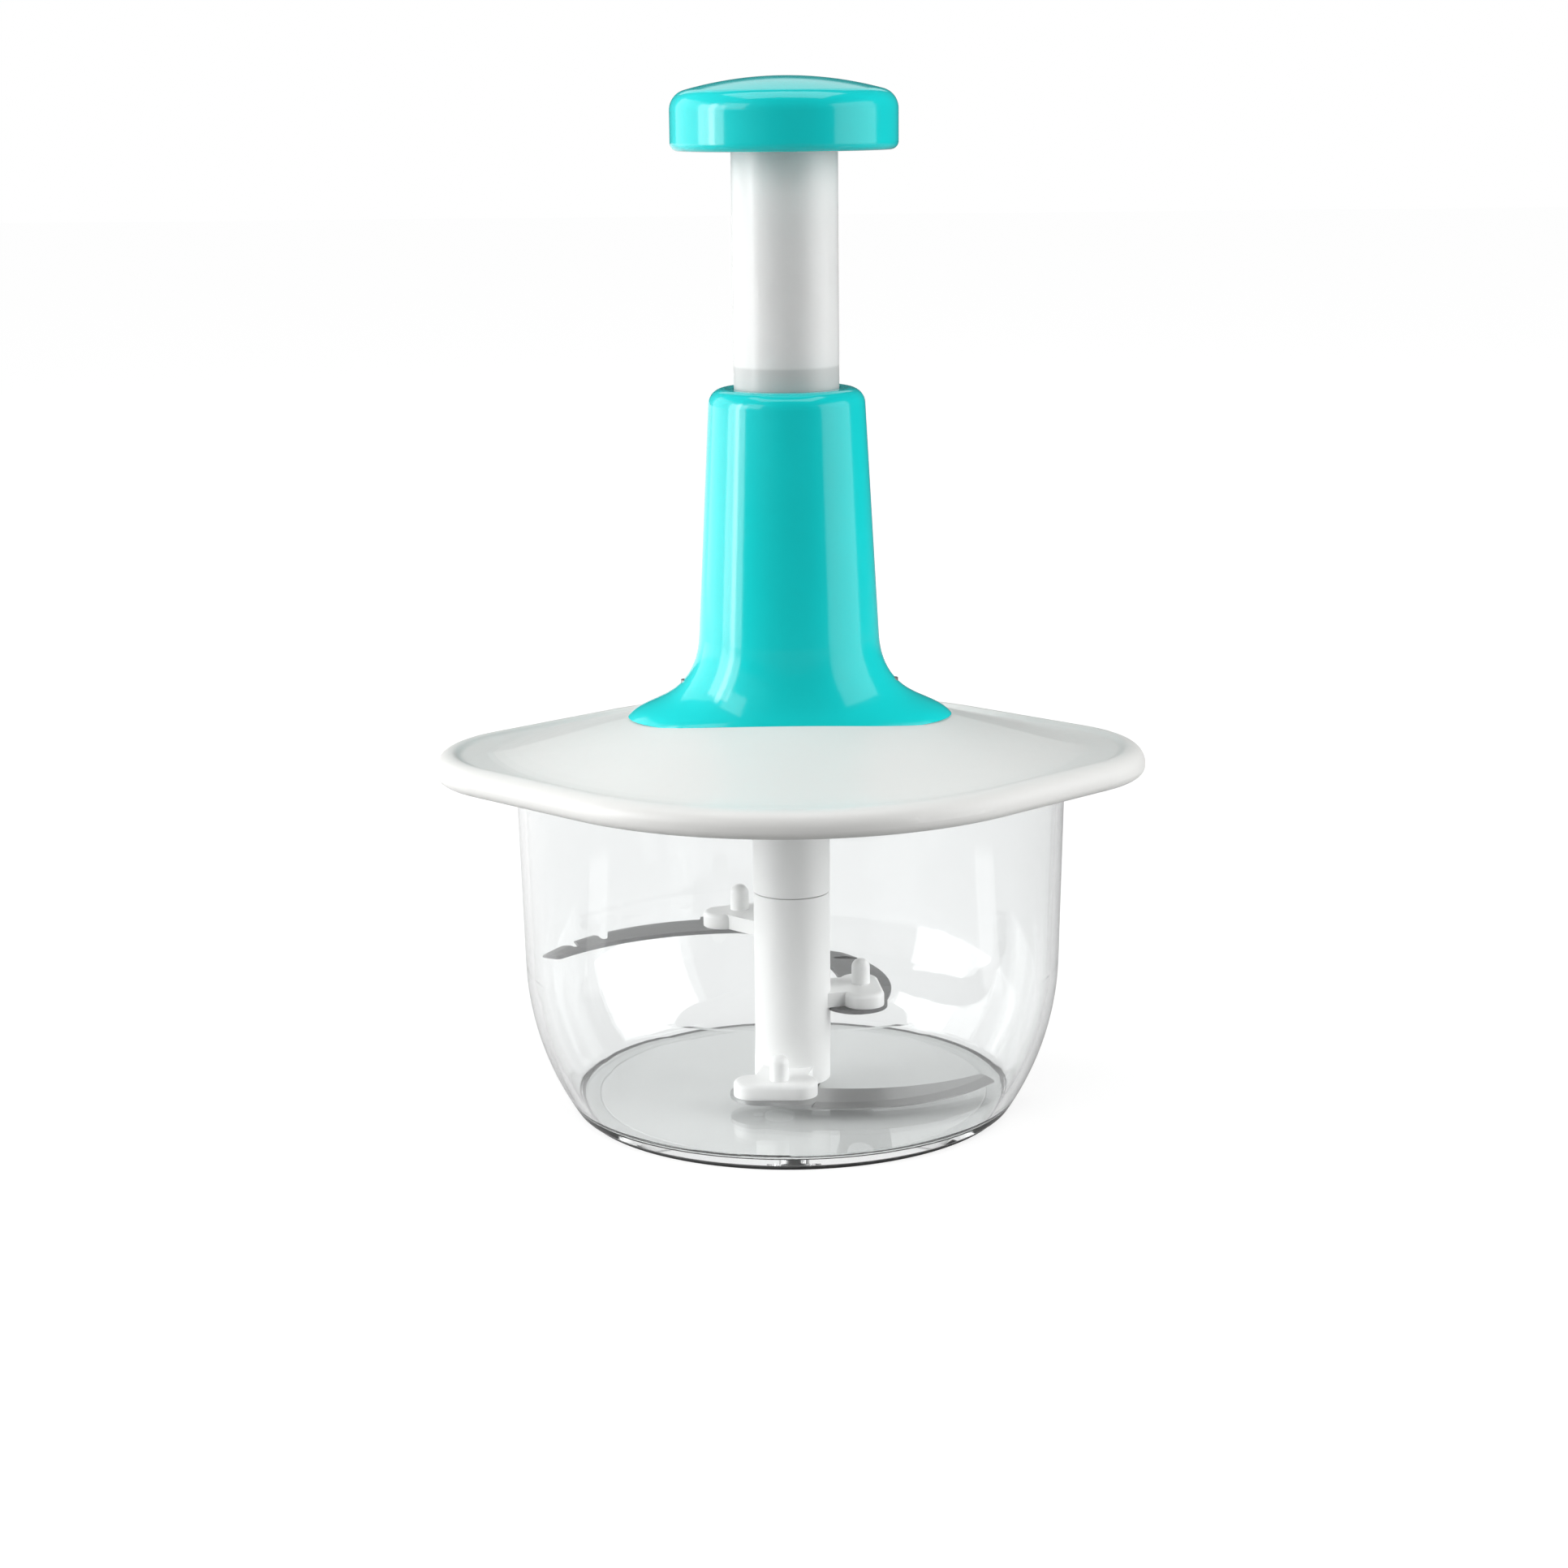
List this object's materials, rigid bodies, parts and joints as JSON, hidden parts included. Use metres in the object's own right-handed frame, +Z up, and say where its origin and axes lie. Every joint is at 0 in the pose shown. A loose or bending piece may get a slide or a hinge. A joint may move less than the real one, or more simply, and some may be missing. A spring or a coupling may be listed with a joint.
{
  "type": "garlic chopper",
  "caption": "Hand-press garlic chopper: a knob on a sprung plunger drives a twisted rod that spins sickle blades inside a clear lidded bowl.",
  "frame": {"origin": "on the plunger's axis, at the face of the non-slip pad that rests on the table", "axes": "+Z up along the plunger, +X towards one ear of the lid, -Y to the front"},
  "size_m": [0.1804, 0.1476, 0.26],
  "materials": {
    "clear_plastic": "clear, polished",
    "turquoise_plastic": "gloss",
    "white_plastic": "satin gloss",
    "milky_plastic": "translucent, polished",
    "natural_plastic": "moulded",
    "pad_rubber": "matte",
    "seal_rubber": "soft, matte",
    "blade_steel": "ground",
    "rod_steel": "drawn"
  },
  "bodies": {
    "bowl": {"bowl": "clear_plastic", "non_slip_pad": "pad_rubber", "pivot_pin": "rod_steel"},
    "lid": {"lid": "white_plastic", "lid_seal": "seal_rubber", "lid_inner_plate": "white_plastic", "hub_screws": "rod_steel", "slip_washer": "natural_plastic", "spring_guide": "natural_plastic", "handle_column": "turquoise_plastic", "column_screws": "rod_steel", "guide_bush": "natural_plastic"},
    "plunger": {"press_knob": "turquoise_plastic", "knob_underplate": "turquoise_plastic", "plunger_tube": "milky_plastic", "drive_rod": "rod_steel", "rod_anchor": "natural_plastic", "anchor_pin": "rod_steel", "return_spring": "rod_steel"},
    "drive": {"drive_nut": "natural_plastic", "drive_socket": "white_plastic"},
    "spindle": {"spindle": "white_plastic", "spindle_foot": "natural_plastic", "blade_bottom": "blade_steel", "blade_middle": "blade_steel", "blade_top": "blade_steel", "blade_pins": "white_plastic"}
  },
  "joints": [
    {"name": "lid_lift", "type": "slide", "parent": "bowl", "child": "lid", "axis": [0, 0, 1], "range_m": [0, 0.06]},
    {"name": "knob_press", "type": "slide", "parent": "lid", "child": "plunger", "axis": [0, 0, -1], "range_m": [0, 0.056], "stiffness_N_per_m": 366, "springref_m": -0.01, "deforming": ["return_spring"]},
    {"name": "drive_spin", "type": "hinge", "parent": "lid", "child": "drive", "pos_m": [0, 0, 0.1], "axis": [0, 0, -1], "continuous": true},
    {"name": "spindle_spin", "type": "hinge", "parent": "bowl", "child": "spindle", "pos_m": [0, 0, 0.03], "axis": [0, 0, -1], "continuous": true}
  ],
  "couplings": [
    {"joint": "drive_spin", "follows": "knob_press", "rad_per_m": 224.4},
    {"joint": "spindle_spin", "follows": "knob_press", "rad_per_m": 224.4}
  ]
}
